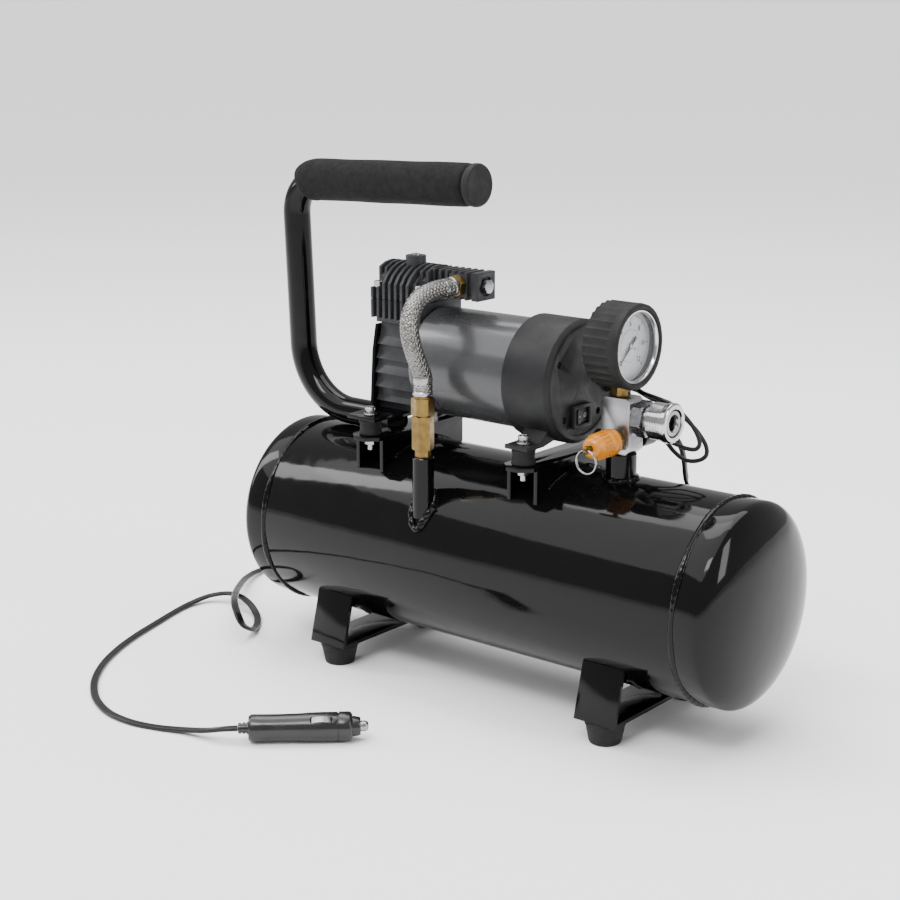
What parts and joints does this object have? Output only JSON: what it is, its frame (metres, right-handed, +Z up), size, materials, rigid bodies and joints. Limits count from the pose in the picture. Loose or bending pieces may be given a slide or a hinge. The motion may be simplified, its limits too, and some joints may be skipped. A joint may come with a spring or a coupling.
{
  "type": "portable compressor on receiver tank",
  "caption": "Small horizontal air receiver tank on rubber feet with a 12 V piston compressor, hand grip, pressure gauge, safety valve, quick coupler and accessory plug lead.",
  "frame": {"origin": "on the floor, under the middle of the tank, half way between its two heads", "axes": "+X along the tank towards the gauge and the quick coupler, +Y towards the back, away from the braided hose, +Z up"},
  "size_m": [0.5697, 0.3579, 0.3976],
  "materials": {
    "tank_paint": "gloss black paint over welded steel",
    "black_rubber": "moulded matt black rubber",
    "grip_foam": "closed-cell foam sleeve, matt black",
    "cable_jacket": "soft black cable jacket, satin",
    "cast_grey": "cast metal painted dark grey",
    "black_plastic": "moulded black plastic, fine grain",
    "bright_steel": "bright machined or plated steel",
    "chrome_plate": "nickel or chrome plate",
    "turned_brass": "turned brass, slightly dull",
    "drilled_block": "sawn and drilled aluminium",
    "valve_cap": "orange-yellow plastic",
    "dial_face": "silver-white printed sheet",
    "clear_lens": "clear flat lens"
  },
  "bodies": {
    "tank_set": {"tank_shell": "tank_paint", "tank_head_right": "tank_paint", "tank_head_left": "tank_paint", "foot_bracket_left": "tank_paint", "foot_bracket_right": "tank_paint", "rubber_foot_left_front": "black_rubber", "rubber_foot_left_rear": "black_rubber", "rubber_foot_right_front": "black_rubber", "rubber_foot_right_rear": "black_rubber", "mount_channel_left": "tank_paint", "mount_channel_right": "tank_paint", "isolator_left_front": "black_rubber", "isolator_left_rear": "black_rubber", "isolator_right_front": "black_rubber", "isolator_right_rear": "black_rubber", "isolator_bolt_left_front": "bright_steel", "isolator_bolt_left_rear": "bright_steel", "isolator_bolt_right_front": "bright_steel", "isolator_bolt_right_rear": "bright_steel", "handle_tube": "tank_paint", "handle_grip": "grip_foam", "handle_end_cap": "black_rubber", "crankcase_cradle": "tank_paint", "crankcase": "cast_grey", "cylinder": "cast_grey", "cylinder_head": "cast_grey", "delivery_block": "cast_grey", "delivery_plug": "bright_steel", "motor_can": "cast_grey", "field_magnet": "black_rubber", "motor_cover": "black_plastic", "switch_frame": "black_plastic", "hose_adapter": "turned_brass", "braided_hose": "bright_steel", "hose_nut": "turned_brass", "check_valve": "turned_brass", "inlet_pipe": "tank_paint", "outlet_nipple": "tank_paint", "outlet_block": "drilled_block", "gauge_case": "chrome_plate", "gauge_boot": "black_rubber", "gauge_dial": "dial_face", "gauge_glass": "clear_lens", "relief_valve_body": "turned_brass", "relief_valve_cap": "valve_cap", "coupler_body": "chrome_plate", "pressure_switch": "black_plastic", "motor_wire_a": "cable_jacket", "motor_wire_b": "cable_jacket", "power_cord": "cable_jacket", "plug_body": "black_plastic", "plug_contact": "bright_steel"},
    "armature": {"armature": "bright_steel"},
    "piston": {"piston": "drilled_block"},
    "rocker": {"switch_rocker": "black_plastic"},
    "needle": {"gauge_needle": "black_plastic"},
    "sleeve": {"coupler_sleeve": "chrome_plate"},
    "valve_stem": {"relief_valve_stem": "turned_brass"},
    "valve_ring": {"relief_split_ring": "bright_steel"},
    "plug_tip": {"plug_tip": "chrome_plate"}
  },
  "joints": [
    {"name": "armature_spin", "type": "hinge", "parent": "tank_set", "child": "armature", "pos_m": [0, 0, 0.2454], "axis": [1, 0, 0], "continuous": true},
    {"name": "piston_slide", "type": "slide", "parent": "tank_set", "child": "piston", "axis": [0, 0, 1], "range_m": [-0.008, 0.008]},
    {"name": "rocker_tilt", "type": "hinge", "parent": "tank_set", "child": "rocker", "pos_m": [0.0639, -0.0022, 0.2205], "axis": [0, 0, 1], "range_deg": [-20, 0]},
    {"name": "needle_turn", "type": "hinge", "parent": "tank_set", "child": "needle", "pos_m": [0.106, -0.001, 0.277], "axis": [1, 0, 0], "range_deg": [-270, 0], "stiffness_Nm_per_rad": 0.0001, "springref_deg": 11.46},
    {"name": "sleeve_pull", "type": "slide", "parent": "tank_set", "child": "sleeve", "axis": [-1, 0, 0], "range_m": [0, 0.0035], "stiffness_N_per_m": 2000, "springref_m": -0.002},
    {"name": "valve_pull", "type": "slide", "parent": "tank_set", "child": "valve_stem", "axis": [0, -1, 0], "range_m": [0, 0.003], "stiffness_N_per_m": 3000, "springref_m": -0.003},
    {"name": "ring_swing", "type": "hinge", "parent": "valve_stem", "child": "valve_ring", "pos_m": [0.1025, -0.0484, 0.2095], "axis": [1, 0, 0], "range_deg": [-100, 15]},
    {"name": "tip_press", "type": "slide", "parent": "tank_set", "child": "plug_tip", "axis": [-0.7443, -0.6678, 0], "range_m": [0, 0.003], "stiffness_N_per_m": 1500, "springref_m": -0.002}
  ]
}
